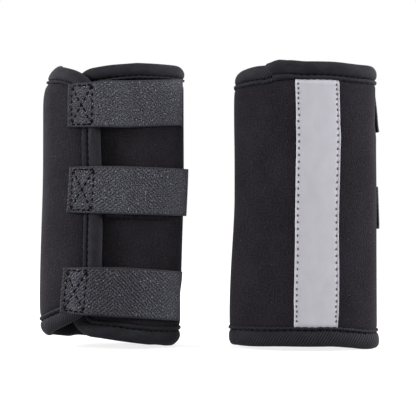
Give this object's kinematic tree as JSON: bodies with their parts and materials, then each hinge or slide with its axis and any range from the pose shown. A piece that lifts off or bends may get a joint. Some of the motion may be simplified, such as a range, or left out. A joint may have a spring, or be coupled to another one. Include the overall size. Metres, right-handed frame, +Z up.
{
  "type": "hook-strap wrap sleeves",
  "caption": "Padded black wrap-around limb sleeves with bound edges, an overlapping flap, hook-tape straps and a reflective strip on the back.",
  "frame": {"origin": "middle of the pair's footprint, on the surface it stands on", "axes": "+X from the left sleeve to the right one, +Y away from the viewer, +Z up along the tubes"},
  "size_m": [0.1928, 0.054, 0.158],
  "materials": {
    "loop_face": "black brushed knit",
    "foam": "black foam",
    "lining": "black smooth knit",
    "binding": "black twill tape",
    "strap_tape": "dark grey woven tape",
    "hooks": "black nylon hooks",
    "reflective": "satin silver reflective tape",
    "thread": "black thread",
    "strip_thread": "grey thread"
  },
  "bodies": {
    "left_sleeve": {"left_panel_loop_face": "loop_face", "left_panel_foam": "foam", "left_panel_lining": "lining", "left_panel_binding": "binding", "left_panel_binding_thread": "thread", "left_reflective_strip": "reflective", "left_strip_thread": "strip_thread"},
    "left_flap": {"left_flap_loop_face": "loop_face", "left_flap_foam": "foam", "left_flap_lining": "lining", "left_flap_binding": "binding", "left_flap_binding_thread": "thread", "left_bottom_strap_anchor": "strap_tape", "left_bottom_strap_thread": "thread", "left_middle_strap_anchor": "strap_tape", "left_middle_strap_thread": "thread", "left_top_strap_anchor": "strap_tape", "left_top_strap_thread": "thread"},
    "left_bottom_closure": {"left_bottom_strap": "strap_tape", "left_bottom_strap_hooks": "hooks"},
    "left_middle_closure": {"left_middle_strap": "strap_tape", "left_middle_strap_hooks": "hooks"},
    "left_top_closure": {"left_top_strap": "strap_tape", "left_top_strap_hooks": "hooks"},
    "right_sleeve": {"right_panel_loop_face": "loop_face", "right_panel_foam": "foam", "right_panel_lining": "lining", "right_panel_binding": "binding", "right_panel_binding_thread": "thread", "right_reflective_strip": "reflective", "right_strip_thread": "strip_thread"},
    "right_flap": {"right_flap_loop_face": "loop_face", "right_flap_foam": "foam", "right_flap_lining": "lining", "right_flap_binding": "binding", "right_flap_binding_thread": "thread", "right_bottom_strap_anchor": "strap_tape", "right_bottom_strap_thread": "thread", "right_middle_strap_anchor": "strap_tape", "right_middle_strap_thread": "thread", "right_top_strap_anchor": "strap_tape", "right_top_strap_thread": "thread"},
    "right_bottom_closure": {"right_bottom_strap": "strap_tape", "right_bottom_strap_hooks": "hooks"},
    "right_middle_closure": {"right_middle_strap": "strap_tape", "right_middle_strap_hooks": "hooks"},
    "right_top_closure": {"right_top_strap": "strap_tape", "right_top_strap_hooks": "hooks"}
  },
  "joints": [
    {"name": "left_flap_fold", "type": "hinge", "parent": "left_sleeve", "child": "left_flap", "pos_m": [-0.09646, 0, 0.079], "axis": [0, 0, -1], "range_deg": [0, 110]},
    {"name": "left_bottom_strap_bend", "type": "hinge", "parent": "left_flap", "child": "left_bottom_closure", "pos_m": [-0.06613, -0.02607, 0.0305], "axis": [0, 0, -1], "range_deg": [0, 110]},
    {"name": "left_middle_strap_bend", "type": "hinge", "parent": "left_flap", "child": "left_middle_closure", "pos_m": [-0.06404, -0.02648, 0.0865], "axis": [0, 0, -1], "range_deg": [0, 110]},
    {"name": "left_top_strap_bend", "type": "hinge", "parent": "left_flap", "child": "left_top_closure", "pos_m": [-0.06404, -0.02648, 0.135], "axis": [0, 0, -1], "range_deg": [0, 110]},
    {"name": "right_sleeve_lift", "type": "slide", "parent": "left_sleeve", "child": "right_sleeve", "axis": [0, 0, 1], "range_m": [0, 0.2]},
    {"name": "right_flap_fold", "type": "hinge", "parent": "right_sleeve", "child": "right_flap", "pos_m": [0.01254, 0, 0.079], "axis": [0, 0, 1], "range_deg": [0, 110]},
    {"name": "right_bottom_strap_bend", "type": "hinge", "parent": "right_flap", "child": "right_bottom_closure", "pos_m": [0.04131, 0.0257, 0.1345], "axis": [0, 0, 1], "range_deg": [0, 110]},
    {"name": "right_middle_strap_bend", "type": "hinge", "parent": "right_flap", "child": "right_middle_closure", "pos_m": [0.04339, 0.02618, 0.079], "axis": [0, 0, 1], "range_deg": [0, 110]},
    {"name": "right_top_strap_bend", "type": "hinge", "parent": "right_flap", "child": "right_top_closure", "pos_m": [0.04339, 0.02618, 0.025], "axis": [0, 0, 1], "range_deg": [0, 110]}
  ]
}
